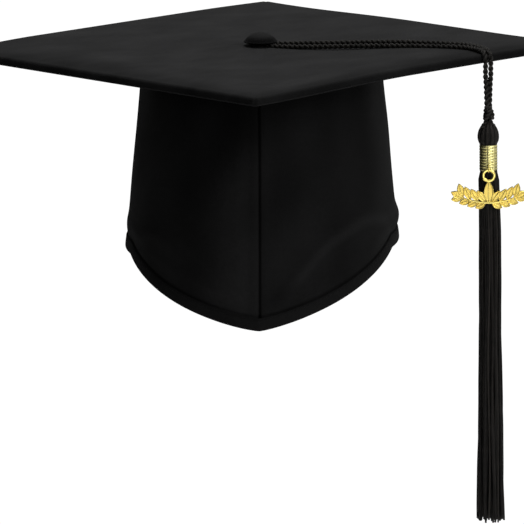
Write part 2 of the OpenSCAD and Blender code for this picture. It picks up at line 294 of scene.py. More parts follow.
def grid(points, uv=None, joined=False):
    """A rows by columns grid of points as quads; joined, its last column meets its first. Without a
    given uv, u is the distance along the middle row and v the distance along the middle column."""
    rows, cols = points.shape[:2]
    wide = cols + 1 if joined else cols
    if uv is None:
        row = points[rows // 2]
        row = np.concatenate([row, row[:1]]) if joined else row
        u = steps_between(row)
        v = steps_between(points[:, cols // 2])
        uv = np.stack(np.broadcast_arrays(u[None, :], v[:, None]), -1)
    r, c = np.meshgrid(np.arange(rows - 1), np.arange(wide - 1), indexing="ij")
    rr = np.stack([r, r, r + 1, r + 1], -1).reshape(-1, 4)
    cc = np.stack([c, c + 1, c + 1, c], -1).reshape(-1, 4)
    return Shape(points.reshape(-1, 3), rr * cols + cc % cols, uv[rr, cc])


def solid(rings, uv=None):
    """A closed solid through rings of points: quads from ring to ring and a fan over each end."""
    rows, cols = rings.shape[:2]
    made = grid(rings, uv, joined=True)
    ends = rings[[0, -1]].mean(1)
    k = np.arange(cols)
    following = (k + 1) % cols
    last = (rows - 1) * cols
    made.points = np.concatenate([made.points, ends])
    made.tris = np.concatenate([
        np.stack([np.full(cols, rows * cols), following, k], -1),
        np.stack([np.full(cols, rows * cols + 1), last + k, last + following], -1),
    ])
    made.tri_uv = np.zeros((2 * cols, 3, 2))
    made.tri_uv[:, 1:, 0] = np.arange(2 * cols)[:, None] * 0.1
    return made.outward()


def slab(outer, inner, joined=False):
    """A closed layer between two matching grids: both grids and a strip along their open edges."""
    rows, cols = outer.shape[:2]
    count = rows * cols
    face, back = grid(outer, joined=joined), grid(inner, joined=joined)
    numbers = np.arange(count).reshape(rows, cols)
    if joined:
        loops = [np.append(numbers[0], numbers[0, 0]), np.append(numbers[-1], numbers[-1, 0])[::-1]]
    else:
        loops = [np.concatenate([
            numbers[0], numbers[1:, -1], numbers[-1, -2::-1], numbers[-2::-1, 0],
        ])]
    strips = np.concatenate([
        np.stack([loop[1:], loop[:-1], loop[:-1] + count, loop[1:] + count], -1) for loop in loops
    ])
    strip_uv = np.zeros((len(strips), 4, 2))
    strip_uv[:, [0, 3], 0] = 1
    return Shape(
        np.concatenate([face.points, back.points]),
        np.concatenate([face.quads, back.quads[:, ::-1] + count, strips]),
        np.concatenate([face.quad_uv, back.quad_uv[:, ::-1], strip_uv]),
    ).outward()


def directions(path, across):
    """Unit vectors along a path and two across it, the first of them as near as can be to the
    wished one."""
    along = np.gradient(path, axis=0)
    along /= np.linalg.norm(along, axis=-1, keepdims=True)
    side = across - (across * along).sum(-1, keepdims=True) * along
    side /= np.linalg.norm(side, axis=-1, keepdims=True)
    return along, side, np.cross(along, side)


def tube(path, across, radius, sides=8, per_turn=None):
    """A closed tube: at each point of a path, a ring of `radius`, which is one number or an array
    of (points of the path) by (sides)."""
    _, side, other = directions(path, across)
    turn = np.arange(sides) * 2 * np.pi / sides
    reach = np.broadcast_to(np.asarray(radius, float), (len(path), sides))[..., None]
    rings = path[:, None] + reach * (
        np.cos(turn)[:, None] * side[:, None] + np.sin(turn)[:, None] * other[:, None]
    )
    girth = 2 * np.pi * float(np.mean(reach)) if per_turn is None else per_turn
    u = np.linspace(0, girth, sides + 1)
    v = steps_between(path)
    return solid(rings, np.stack(np.broadcast_arrays(u[None, :], v[:, None]), -1))


def evenly(line, step):
    """Points at even distances along a line; columns after the third come along with the place."""
    along = steps_between(line[:, :3])
    wanted = np.linspace(0, along[-1], max(2, round(along[-1] / step)) + 1)
    return np.stack([np.interp(wanted, along, column) for column in line.T], -1)


def curve(points, step):
    """A smooth line through given points (a Catmull-Rom spline), with a point at each step."""
    p = np.asarray(points, float)
    p = np.concatenate([[2 * p[0] - p[1]], p, [2 * p[-1] - p[-2]]])
    a, b, c, d = p[:-3, None], p[1:-2, None], p[2:-1, None], p[3:, None]
    t = (np.arange(24) / 24)[:, None]
    bent = 2 * b + (c - a) * t + (2 * a - 5 * b + 4 * c - d) * t**2 + (3 * b - a - 3 * c + d) * t**3
    line = np.concatenate([(bent / 2).reshape(-1, p.shape[1]), p[-2:-1]])
    return evenly(line, step)


def profile_between(points, step):
    """A smooth profile of two numbers, such as radius and height, with a point at every step."""
    p = np.asarray(points, float)
    return curve(np.stack([p[:, 0], 0 * p[:, 0], p[:, 1]], -1), step)[:, [0, 2]]


def turned(profile, sides, centre=(0, 0, 0), wave=None):
    """Rings of a solid of revolution: radius and height of each ring, the radius times 1 + wave."""
    turn = np.arange(sides) * 2 * np.pi / sides
    radius = profile[:, :1] * (1 if wave is None else 1 + wave)
    return np.asarray(centre) + np.stack(np.broadcast_arrays(
        radius * np.cos(turn), radius * np.sin(turn), profile[:, 1:2]
    ), -1)


def smooth_step(x):
    """0 below nought, 1 above one, and a soft S between."""
    x = np.clip(x, 0, 1)
    return x * x * (3 - 2 * x)


def hump(x, width):
    """A bell of height 1 at nought."""
    return np.exp(-((x / width) ** 2))


def unevenness(u, v, size, seed):
    """Slow waves, about -1 to 1: seven sines of about one size, each in a seeded direction."""
    chance = np.random.default_rng(seed)
    total = 0
    for turn, phase, stretch in chance.uniform([0, 0, 0.6], [2 * np.pi, 2 * np.pi, 1.6], (7, 3)):
        k = 2 * np.pi / (size * stretch)
        total = total + np.sin(k * (u * math.cos(turn) + v * math.sin(turn)) + phase)
    return total / 3.2


def piece(name, shape, material, body=None, replaces=(), merge=False, marks=None):
    """A mesh object from a shape. The body says what it belongs to; the floor and the cord have
    none. marks is one number for each point, for the material to read."""
    mesh = bpy.data.meshes.new(name)
    points = np.asarray(shape.points, np.float32) * MM
    corners = np.concatenate([shape.quads.ravel(), shape.tris.ravel()]).astype(np.int32)
    sizes = np.concatenate([np.full(len(shape.quads), 4), np.full(len(shape.tris), 3)])
    starts = np.concatenate([[0], np.cumsum(sizes)[:-1]]).astype(np.int32)
    mesh.vertices.add(len(points))
    mesh.vertices.foreach_set("co", points.ravel())
    mesh.loops.add(len(corners))
    mesh.loops.foreach_set("vertex_index", corners)
    mesh.polygons.add(len(sizes))
    mesh.polygons.foreach_set("loop_start", starts)
    mesh.polygons.foreach_set("use_smooth", np.ones(len(sizes), bool))
    uv = mesh.uv_layers.new(name="cloth")
    places = np.concatenate([shape.quad_uv.reshape(-1, 2), shape.tri_uv.reshape(-1, 2)])
    uv.data.foreach_set("uv", places.astype(np.float32).ravel())
    if marks is not None:
        mesh.attributes.new("marks", "FLOAT", "POINT").data.foreach_set(
            "value", np.asarray(marks, np.float32)
        )
    mesh.update(calc_edges=True)
    if merge:
        work = bmesh.new()
        work.from_mesh(mesh)
        bmesh.ops.remove_doubles(work, verts=work.verts, dist=0.002 * MM)
        bmesh.ops.dissolve_degenerate(work, edges=work.edges, dist=0.002 * MM)
        work.to_mesh(mesh)
        work.free()
    mesh.validate()
    mesh.materials.append(material)
    made = bpy.data.objects.new(name, mesh)
    bpy.context.scene.collection.objects.link(made)
    if body:
        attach(made, body)
    if replaces:
        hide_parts(*replaces)
    return made


# ---- Effects that several materials use ----


def group(name, inputs, outputs):
    """An empty shader group with named sockets, and its input and output nodes."""
    tree = bpy.data.node_groups.new(name, "ShaderNodeTree")
    for label, kind, default in inputs:
        socket = tree.interface.new_socket(
            name=label, in_out="INPUT", socket_type="NodeSocket" + kind
        )
        if default is not None:
            socket.default_value = default
    for label in outputs:
        tree.interface.new_socket(name=label, in_out="OUTPUT", socket_type="NodeSocketFloat")
    return tree, tree.nodes.new("NodeGroupInput"), tree.nodes.new("NodeGroupOutput")


def weave_group():
    """Plain weave: one sine along each thread, multiplied, with threads that vary in thickness."""
    tree, given, result = group(
        "weave", [("Vector", "Vector", None), ("Thread", "Float", 0.4)], ["Height", "Slub"]
    )
    place = node(tree, "ShaderNodeSeparateXYZ", None, {0: given.outputs["Vector"]})
    rate = maths(tree, "DIVIDE", math.pi, given.outputs["Thread"])
    warp = maths(tree, "SINE", maths(tree, "MULTIPLY", place.outputs[0], rate))
    weft = maths(tree, "SINE", maths(tree, "MULTIPLY", place.outputs[1], rate))
    over = maths(tree, "MULTIPLY", warp, weft)
    long_way = node(tree, "ShaderNodeMapping", None, {
        "Vector": given.outputs["Vector"], "Scale": (0.12, 2.2, 1),
    })
    slub = node(tree, "ShaderNodeTexNoise", None, {
        "Vector": long_way.outputs[0], "Scale": 1.0, "Detail": 3,
    })
    height = maths(tree, "MULTIPLY_ADD", over, 0.5, slub.outputs[0])
    tree.links.new(height, result.inputs["Height"])
    tree.links.new(slub.outputs[0], result.inputs["Slub"])
    return tree


def mottle_group():
    """Uneven colour: a slow noise and a fine one, added."""
    tree, given, result = group(
        "mottle", [("Vector", "Vector", None), ("Scale", "Float", 60.0)], ["Mask", "Fine"]
    )
    scale = given.outputs["Scale"]
    slow = node(tree, "ShaderNodeTexNoise", None, {
        "Vector": given.outputs["Vector"], "Scale": scale, "Detail": 4, "Roughness": 0.6,
    })
    fine_scale = maths(tree, "MULTIPLY", scale, 14.0)
    fine = node(tree, "ShaderNodeTexNoise", None, {
        "Vector": given.outputs["Vector"], "Scale": fine_scale, "Detail": 2,
    })
    most = maths(tree, "MULTIPLY", slow.outputs[0], 0.65)
    both = maths(tree, "MULTIPLY_ADD", fine.outputs[0], 0.35, most)
    spread = node(tree, "ShaderNodeMapRange", None, {
        "Value": both, "From Min": 0.32, "From Max": 0.68,
    })
    tree.links.new(spread.outputs[0], result.inputs["Mask"])
    tree.links.new(fine.outputs[0], result.inputs["Fine"])
    return tree


def fibre_group():
    """Twisted fibres: stripes that lean across the yarn, bent a little by noise."""
    tree, given, result = group(
        "fibre", [("Vector", "Vector", None), ("Lean", "Float", 1.0), ("Width", "Float", 0.35)],
        ["Height", "Stray"],
    )
    place = node(tree, "ShaderNodeSeparateXYZ", None, {0: given.outputs["Vector"]})
    stray = node(tree, "ShaderNodeTexNoise", None, {
        "Vector": given.outputs["Vector"], "Scale": 1.6, "Detail": 3,
    })
    lean = maths(tree, "MULTIPLY_ADD", place.outputs[1], given.outputs["Lean"], place.outputs[0])
    bent = maths(tree, "MULTIPLY_ADD", stray.outputs[0], 0.5, lean)
    phase = maths(tree, "MULTIPLY", bent, 2 * math.pi)
    wave = maths(tree, "SINE", maths(tree, "DIVIDE", phase, given.outputs["Width"]))
    height = maths(tree, "MULTIPLY_ADD", wave, 0.5, stray.outputs[0])
    tree.links.new(height, result.inputs["Height"])
    tree.links.new(stray.outputs[0], result.inputs["Stray"])
    return tree


GROUPS = {"weave": weave_group(), "mottle": mottle_group(), "fibre": fibre_group()}


def use(tree, name, inputs):
    """One of the shared groups, placed in a material."""
    made = node(tree, "ShaderNodeGroup")
    made.node_tree = GROUPS[name]
    for key, value in inputs.items():
        if isinstance(value, bpy.types.NodeSocket):
            tree.links.new(value, made.inputs[key])
        else:
            made.inputs[key].default_value = value
    return made.outputs


# ---- Materials ----


def material(name, constants):
    """A material with one Principled shader and its constant values, with its tree and shader."""
    made = bpy.data.materials.new(name)
    made.use_nodes = True
    tree = made.node_tree
    shader = tree.nodes["Principled BSDF"]
    for key, value in constants.items():
        shader.inputs[key].default_value = value
    return made, tree, shader


def own_uv(tree):
    """The place on the piece's own cloth or yarn, in millimetres."""
    return node(tree, "ShaderNodeUVMap", {"uv_map": "cloth"}).outputs[0]


def in_place(tree):
    """The place in the piece, in metres."""
    return node(tree, "ShaderNodeTexCoord").outputs["Object"]


def bumped(tree, shader, height, distance):
    """Feeds the shader a bump that stands this distance high, in metres."""
    bump = node(tree, "ShaderNodeBump", None, {
        "Height": height, "Distance": distance, "Strength": 1,
    })
    tree.links.new(bump.outputs[0], shader.inputs["Normal"])


def cloth(name, dark, light, rough, thread, relief, sheen=0.02, shine=0.03):
    """Woven cloth: weave bump on the cloth's own uv, uneven dye, and a soft sheen. A piece's marks
    scale its colour lighter (above nought) or darker (below it): painted light and shade, and slow
    patches of tone."""
    made, tree, shader = material(name, {
        "Sheen Weight": sheen, "Sheen Roughness": 0.45, "Sheen Tint": (1, 1, 1, 1),
        "Specular IOR Level": shine,
    })
    woven = use(tree, "weave", {"Vector": own_uv(tree), "Thread": thread})
    uneven = use(tree, "mottle", {"Vector": in_place(tree), "Scale": 38.0})
    dye = maths(tree, "MULTIPLY", uneven["Mask"], 0.6)
    mask = maths(tree, "MULTIPLY_ADD", woven["Slub"], 0.4, dye)
    # Painted light and shade: the piece's marks scale the colour lighter or darker.
    tone_and_painted_light = node(tree, "ShaderNodeAttribute", {"attribute_name": "marks"}).outputs["Fac"]
    dye_and_painted_light = node(tree, "ShaderNodeVectorMath", {"operation": "SCALE"}, {
        0: blended(tree, mask, dark, light), 3: maths(tree, "ADD", tone_and_painted_light, 1.0),
    })
    tree.links.new(dye_and_painted_light.outputs[0], shader.inputs["Base Color"])
    gloss = between(tree, uneven["Mask"], rough - 0.07, rough + 0.07)
    tree.links.new(gloss, shader.inputs["Roughness"])
    bumped(tree, shader, woven["Height"], relief)
    return made


def yarn(name, dark, light, lean, width, rough=0.5, shine=0.15, sheen=0.03):
    """Twisted black yarn: leaning fibres by uv, slightly warm, with a low gloss. A piece's marks
    say how light each strand or ply is: a random tone on the skirt, painted light and shade on the
    cord and the head."""
    made, tree, shader = material(name, {
        "Sheen Weight": sheen, "Sheen Roughness": 0.4, "Specular IOR Level": shine,
    })
    fibres = use(tree, "fibre", {"Vector": own_uv(tree), "Lean": lean, "Width": width})
    uneven = use(tree, "mottle", {"Vector": in_place(tree), "Scale": 160.0})
    dye_and_painted_light = node(tree, "ShaderNodeAttribute", {"attribute_name": "marks"}).outputs["Fac"]
    # Painted light and shade from the marks, mixed with the slow uneven tone.
    mask = maths(tree, "MULTIPLY_ADD", uneven["Mask"], 0.35, maths(tree, "MULTIPLY", dye_and_painted_light, 0.65))
    tree.links.new(blended(tree, mask, dark, light), shader.inputs["Base Color"])
    gloss = between(tree, fibres["Stray"], rough - 0.1, rough + 0.1)
    tree.links.new(gloss, shader.inputs["Roughness"])
    bumped(tree, shader, fibres["Height"], 0.00012)
    return made


def gilt():
    """Polished gilt, with a grained, duller ground where the piece's marks say so."""
    made, tree, shader = material("polished_gilt", {"Metallic": 1.0})
    ground = node(tree, "ShaderNodeAttribute", {"attribute_name": "marks"}).outputs["Fac"]
    uneven = use(tree, "mottle", {"Vector": in_place(tree), "Scale": 220.0})
    grain = node(tree, "ShaderNodeTexVoronoi", None, {"Vector": in_place(tree), "Scale": 2600.0})
    colour = node(tree, "ShaderNodeMix", {"data_type": "RGBA"}, {
        0: ground,
        6: blended(tree, uneven["Mask"], (1.0, 0.77, 0.19), (1.0, 0.85, 0.27)),
        7: blended(tree, uneven["Mask"], (0.97, 0.68, 0.13), (1.0, 0.78, 0.20)),
    })
    tree.links.new(colour.outputs[2], shader.inputs["Base Color"])
    smudge = between(tree, uneven["Mask"], 0.12, 0.24)
    tree.links.new(maths(tree, "MULTIPLY_ADD", ground, 0.14, smudge), shader.inputs["Roughness"])
    bumped(tree, shader, maths(tree, "MULTIPLY", grain.outputs[0], ground), 0.00006)
    return made


def gilt_wrap():
    """Gilt foil on a ribbed strip: pale gold that changes a little, with fine creases."""
    made, tree, shader = material("gilt_foil", {"Metallic": 1.0})
    uneven = use(tree, "mottle", {"Vector": in_place(tree), "Scale": 300.0})
    colour = blended(tree, uneven["Mask"], (1.0, 0.87, 0.31), (1.0, 0.95, 0.48))
    tree.links.new(colour, shader.inputs["Base Color"])
    tree.links.new(between(tree, uneven["Mask"], 0.24, 0.38), shader.inputs["Roughness"])
    bumped(tree, shader, uneven["Fine"], 0.00005)
    return made


def steel():
    """Plain stamped steel: cool grey metal with turning marks round its middle."""
    made, tree, shader = material("stamped_steel", {"Metallic": 1.0})
    place = in_place(tree)
    rings = node(tree, "ShaderNodeTexWave", {"wave_type": "RINGS", "rings_direction": "Z"}, {
        "Vector": place, "Scale": 900.0, "Distortion": 0.6, "Detail": 2,
    })
    uneven = use(tree, "mottle", {"Vector": place, "Scale": 140.0})
    tree.links.new(blended(tree, uneven["Mask"], (0.48, 0.49, 0.5), (0.62, 0.63, 0.64)),
                   shader.inputs["Base Color"])
    tree.links.new(between(tree, uneven["Mask"], 0.28, 0.42), shader.inputs["Roughness"])
    bumped(tree, shader, rings.outputs["Fac"], 0.00001)
    return made


def card():
    """Grey board: pressed fibres and flecks."""
    made, tree, shader = material("grey_card", {"Specular IOR Level": 0.2})
    uneven = use(tree, "mottle", {"Vector": in_place(tree), "Scale": 90.0})
    tree.links.new(blended(tree, uneven["Mask"], (0.22, 0.20, 0.17), (0.34, 0.31, 0.27)),
                   shader.inputs["Base Color"])
    tree.links.new(between(tree, uneven["Mask"], 0.75, 0.9), shader.inputs["Roughness"])
    bumped(tree, shader, uneven["Fine"], 0.0001)
    return made


CAP_CLOTH = cloth("cap_cloth", (0.0046, 0.0046, 0.0047), (0.0090, 0.0090, 0.0091),
                  rough=0.72, thread=0.42, relief=0.00003)
# Painted sheen: the same cloth as the cap with about twice its base colour, standing in for most of
# the sheen on the board's top.
SHEEN_PAINTED_BOARD_CLOTH = cloth("board_cloth_painted_sheen", (0.0095, 0.0095, 0.0097), (0.0190, 0.0190, 0.0192),
                    rough=0.72, thread=0.42, relief=0.00003, sheen=0.008, shine=0.012)
TRIM_CLOTH = cloth("trim_cloth", (0.0054, 0.0054, 0.0055), (0.0102, 0.0102, 0.0103),
                   rough=0.7, thread=0.34, relief=0.00004)
LINING = cloth("lining_cloth", (0.012, 0.012, 0.013), (0.020, 0.020, 0.022),
               rough=0.85, thread=0.6, relief=0.00005, shine=0.05)
ELASTIC = cloth("elastic_webbing", (0.010, 0.010, 0.011), (0.018, 0.018, 0.019),
                rough=0.8, thread=1.1, relief=0.00012)
TAB_CLOTH = cloth("tab_satin", (0.62, 0.61, 0.58), (0.74, 0.73, 0.70),
                  rough=0.5, thread=0.25, relief=0.00002, shine=0.4)
THREAD = yarn("sewing_thread", (0.002, 0.002, 0.002), (0.005, 0.005, 0.005),
              lean=1.0, width=0.12, rough=0.7, shine=0.05)
CORD_YARN = yarn("cord_yarn", (0.0010, 0.0009, 0.0008), (0.055, 0.051, 0.0455),
                 lean=1.2, width=0.3, rough=0.5, shine=0.08, sheen=0.008)
SKIRT_YARN = yarn("tassel_yarn", (0.0010, 0.0009, 0.0008), (0.036, 0.0312, 0.0272),
                  lean=0.8, width=0.35)
SEAM_THREAD = yarn("band_thread", (0.03, 0.016, 0.004), (0.07, 0.04, 0.01), lean=1.0, width=0.15)
GILT = gilt()
GILT_WRAP = gilt_wrap()
STEEL = steel()
CARD = card()


def board_bow(x, y):
    """How far the board stands above its plane: the right wing curls up, more in front than behind,
    and so does the left half of the back edge."""
    wing = (2.7 - 1.0 * smooth_step((y + 40) / 80)) * smooth_step(x / 85)
    back = 1.4 * smooth_step((y + 10) / 50) * smooth_step((40 - x) / 80)
    return wing + back


# ---- Cord ----


def two_ply(path, across, size, sides=16, pitch=TWIST_PITCH):
    """A cord of two twisted plies: round its axis the surface is a cosine arc of each ply's circle,
    d |cos t| + sqrt(r^2 - d^2 sin^2 t), which turns once in a pitch. Its marks are 1 along the top
    of a ply and fall to 0 in the groove between the plies: painted light on the plies and painted
    shade in the groove."""
    apart, ply_r = 0.38 * size / 2, 0.68 * size / 2
    twist = steps_between(path)[:, None] * 2 * np.pi / pitch
    turn = np.arange(sides) * 2 * np.pi / sides - twist
    radius = apart * np.abs(np.cos(turn)) + np.sqrt(ply_r**2 - (apart * np.sin(turn)) ** 2)
    # Painted shade in the groove between the plies, painted light along their tops.
    marks = np.append(np.abs(np.cos(turn)).ravel() ** 4, [0, 0])
    return tube(path, across, radius, sides, per_turn=2.2), marks


def strand(route, side):
    """One strand of the pair, and the direction across it."""
    turn = np.radians(route[:, 4])
    across = side * np.stack([np.cos(turn), np.sin(turn), 0 * turn], -1)
    return route[:, :3] + route[:, 3:4] * across, across


def cord():
    """The doubled cord: up from the knot, along the board, once round the button's neck and back.
    Its path is both strands of the route and an arc round the neck."""
    route = np.array(CORD_ROUTE, float)
    on_board = smooth_step((route[:, 2] - CORD_FREE_Z) / 5)
    route[:, 2] += board_bow(route[:, 0], route[:, 1]) * on_board
    turn = np.radians(np.arange(LOOP_OPEN + 45, LOOP_OPEN + 316, 30))
    out = np.stack([np.cos(turn), np.sin(turn), 0 * turn], -1)
    first, first_across = strand(route[::-1], 1)
    last, last_across = strand(route, -1)
    places = np.concatenate([first, [0, 0, LOOP_Z] + LOOP_R * out, last])
    across = np.concatenate([first_across, out, last_across])
    line = curve(np.concatenate([places, across], -1), 0.35)
    path = line[:, :3]
    shape, marks = two_ply(path, line[:, 3:], CORD_D + CORD_FLUFF)
    # Painted shade: where the cord lies on the board its plies are painted darker, to about a
    # quarter of their light in the drop.
    marks = marks * (0.24 + 0.76 * smooth_step((109.5 - shape.points[:, 2]) / 4))
    made = piece("cord", shape, CORD_YARN, marks=marks,
                 replaces=["cord_on_board", "cord_drop"])
    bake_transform(made)


def floor():
    """A plain pale disc well below the cap, clear from underneath so that it hides nothing."""
    rings = turned(np.array([[FLOOR_R, FLOOR_Z], [FLOOR_R / 2, FLOOR_Z], [0.01, FLOOR_Z]]), 96)
    made, tree, shader = material("pale_floor", {
        "Base Color": (0.9, 0.9, 0.9, 1), "Roughness": 0.9, "Specular IOR Level": 0.0,
    })
    under = node(tree, "ShaderNodeNewGeometry").outputs["Backfacing"]
    tree.links.new(maths(tree, "SUBTRACT", 1.0, under), shader.inputs["Alpha"])
    piece("floor", grid(rings, joined=True), made)


cord()
studio()
floor()


# ---- Board ----


def board_outline(half, corner, per_side=150, per_corner=12):
    """Points and outward directions round a square with round corners that stands corner to the
    front: four times a straight side and a quarter circle, turned by a quarter each time."""
    reach = half - corner
    t = np.linspace(-1, 1, per_side)
    t = np.sin(t * np.pi / 2) * 0.35 + t * 0.65
    side = np.stack([np.full(per_side, half), t * reach], -1)
    side_out = np.stack([np.ones(per_side), np.zeros(per_side)], -1)
    turn = np.linspace(0, np.pi / 2, per_corner + 2)[1:-1]
    corner_out = np.stack([np.cos(turn), np.sin(turn)], -1)
    points, out = [], []
    for quarter in range(4):
        a = np.pi / 4 + quarter * np.pi / 2
        turned_by = np.array([[math.cos(a), math.sin(a)], [-math.sin(a), math.cos(a)]])
        points.append(np.concatenate([side, reach + corner * corner_out]) @ turned_by)
        out.append(np.concatenate([side_out, corner_out]) @ turned_by)
    return np.concatenate(points), np.concatenate(out)


def board_tone_and_painted_shade(points):
    """Painted shade on the upper cover: darker along the two front edges, more on the right, with
    slow cloudy patches of tone."""
    x, y = points[..., 0], points[..., 1]
    inset = (BOARD_SIDE - np.sqrt(2) * (np.abs(x) - y)) / 2
    wide = 14 + np.where(x < 0, 30, 14) * smooth_step(np.abs(x) / 110)
    # Painted shade along the two front edges.
    front = smooth_step((10 - y) / 30) * (1 - smooth_step((inset - 1) / wide))
    cloudy = 0.08 * unevenness(x, y, 46, 8) + 0.06 * unevenness(x, y, 17, 9)
    return cloudy - 0.5 * front


def board_layer(profile, wave=0.0, soften=0.0):
    """A grid over the board: rings of the outline, each drawn in by an inset, at a height. Near the
    edge the height falls softly, and inside it varies slowly."""
    rows = []
    for inset, z in profile:
        edge = min(inset, BOARD_SIDE / 2)
        corner = max(CORNER_R - edge, 0.2) if edge < CORNER_R else CORNER_R
        half = BOARD_SIDE / 2 - edge
        points, _ = board_outline(max(half, 0.05), min(corner, max(half, 0.05) * 0.5))
        x, y = points.T
        inside = smooth_step(edge / 30)
        height = z + board_bow(x, y) + wave * inside * unevenness(x, y, 70, 3)
        height = height - soften * (1 - smooth_step(edge / 17))
        rows.append(np.stack([x, y, height], -1))
    return np.stack(rows)


def corner_pinch(points, depth):
    """Cloth drawn in at the board's four corners, in a bell across each corner's line."""
    x, y = points[..., 0], points[..., 1]
    off = np.minimum(np.abs(x), np.abs(y))
    far = np.maximum(np.abs(x), np.abs(y))
    pull = depth * hump(off, 0.9) * smooth_step((far - 160) / 8)
    size = np.hypot(x, y)[..., None] + 1e-9
    drawn = points.copy()
    drawn[..., :2] -= points[..., :2] / size * pull[..., None]
    drawn[..., 2] -= 0.5 * pull
    return drawn


def board_top_cloth():
    """The upper cover: flat with slow waves, softer over its last 17 mm, rolled over the edge by a
    quarter circle and down to the seam."""
    inner = BOARD_SIDE / 2 * (1 - np.linspace(0, 1, 40) ** 0.75)
    inner = inner[inner > ROLL + 0.3]
    roll = np.radians(np.linspace(0, 90, 9))
    over = [[ROLL * (1 - math.sin(a)), BOARD_TOP - ROLL * (1 - math.cos(a))] for a in roll]
    down = [[0, z] for z in (106.4, 105.8, 105.2)] + [[0.25, 104.8], [0.7, 104.6]]
    profile = [[i, BOARD_TOP] for i in inner] + over + down
    outer = corner_pinch(board_layer(profile, 0.6, 0.3), 0.45)
    below = [[i, BOARD_TOP - 0.75] for i in inner] + [
        [max(i, 0) + 0.75, min(z, BOARD_TOP - 0.75)] for i, z in over
    ] + [[0.8, z] for z in (106.4, 105.8, 105.2)] + [[0.95, 104.9], [1.1, 104.7]]
    lower = board_layer(below, 0.6, 0.2)
    shape = slab(outer, lower, joined=True)
    made = piece("board_top_cloth", shape, SHEEN_PAINTED_BOARD_CLOTH, "cap",
                 replaces=["board_top_cover"], merge=True, marks=board_tone_and_painted_shade(shape.points))


def board_bottom_cloth():
    """The lower cover: flat, with a small round edge that turns up to the seam."""
    inner = BOARD_SIDE / 2 * (1 - np.linspace(0, 1, 24) ** 0.8)
    inner = inner[inner > 1.2]
    roll = np.radians(np.linspace(0, 90, 6))
    edge = [[0.6 * (1 - math.sin(a)), BOARD_UNDER + 0.6 * (1 - math.cos(a))] for a in roll]
    lower = board_layer([[i, BOARD_UNDER] for i in inner] + edge, 0.0)
    seam = [[0.7, BOARD_UNDER + 0.6 + 0.02 * k] for k in range(6)]
    upper = board_layer([[i, BOARD_UNDER + 0.6] for i in inner] + seam)
    made = piece("board_bottom_cloth", slab(upper, lower, joined=True), CAP_CLOTH,
                 "cap", replaces=["board_bottom_cover"], merge=True)


def board_card():
    """The stiff sheet inside the covers, with small round edges."""
    low, high = CARD_LOW[2] + 0.15, CARD_HIGH[2] - 0.35
    edge = [[1.6, 0], [1.2, 0.2], [1.1, 0.5]]
    top = [[118, high], [60, high], [4, high - 0.2]]
    top = top + [[i + 0.2, high - 0.8 - dz] for i, dz in edge]
    base = [[118, low], [60, low], [4, low]] + [[i + 0.2, low + dz / 2] for i, dz in edge]
    shape = slab(board_layer(top), board_layer(base), joined=True)
    piece("board_card", shape, CARD, "cap", replaces=["board_core"], merge=True)


def board_edge_seam():
    """The fine welt where the two covers are sewn together: a thin cord round the outline."""
    points, out = board_outline(BOARD_SIDE / 2 - 0.12, CORNER_R - 0.12)
    z = BOARD_UNDER + 0.55 + board_bow(*points.T)
    path = np.column_stack([points, z])
    path = corner_pinch(path, 0.4)
    turn = np.arange(8) * 2 * np.pi / 8
    out = np.column_stack([out, 0 * z])[:, None]
    rings = path[:, None] + 0.42 * (
        np.cos(turn)[:, None] * out + np.sin(turn)[:, None] * np.array([0, 0, 1])
    )
    welt = grid(np.concatenate([rings, rings[:1]]), joined=True).outward()
    piece("board_edge_seam", welt, TRIM_CLOTH, "cap", merge=True)


# ---- Crown ----


def fold_angle(a):
    """Angle from the front point, whichever way round the crown it is taken."""
    return np.abs((a + 180) % 360 - 180)


def rim_z(a):
    """Height of the rim: a pointed front, level sides, a shallow dip at the back, and a slight lean
    towards the left."""
    f = fold_angle(a)
    power = np.where((a % 360) > 180, RIM_POWER + 0.09, RIM_POWER + 0.03)
    front = FRONT_DROP * (1 - np.clip(f / SIDE_A, 0, 1) ** power)
    dip = np.radians(np.clip(f - CASING_A, 0, 72) * 180 / (180 - CASING_A))
    back = BACK_DROP * (1 - np.cos(dip)) / 2
    return LEAN * np.sin(np.radians(a)) - front - back


def crown_point(a, z, inset):
    """A point of the crown wall: an ellipse that narrows evenly towards the board, with a low ridge
    along the front seam."""
    a, z, inset = np.broadcast_arrays(a, z, inset)
    down = (CROWN_H - z) / CROWN_H
    half_w = (TOP_W + (RIM_W - TOP_W) * down) / 2 - inset
    half_l = (TOP_L + (RIM_L - TOP_L) * down) / 2 - inset
    ridge = RIDGE * np.clip(1 - fold_angle(a) / RIDGE_A, 0, 1) ** 2
    turn = np.radians(a)
    set_over = 0.7 * (1 - down)
    return np.stack([half_w * np.sin(turn) + set_over, -half_l * np.cos(turn) - ridge, z], -1)


def gathers(a, rise):
    """Folds that the elastic draws into the back of the crown: uneven waves that fade upwards."""
    f = fold_angle(a)
    part = smooth_step((f - CASING_A + 4) / 12)
    wave = np.sin(2 * np.pi * (a / 4.6 + 0.35 * np.sin(np.radians(a * 7))))
    wave = wave + 0.4 * np.sin(np.radians(a * 47))
    fade = np.exp(-np.clip(rise, 0, None) / 34)
    return 0.75 * part * fade * (1 + wave)


def hem_line(f):
    """Rise above the rim of the low pulled line in the cloth: it climbs from the front point, stays
    level and falls again at the side."""
    return 16 + 17 * smooth_step((f - 5) / 30) - 16 * smooth_step((f - 45) / 30)


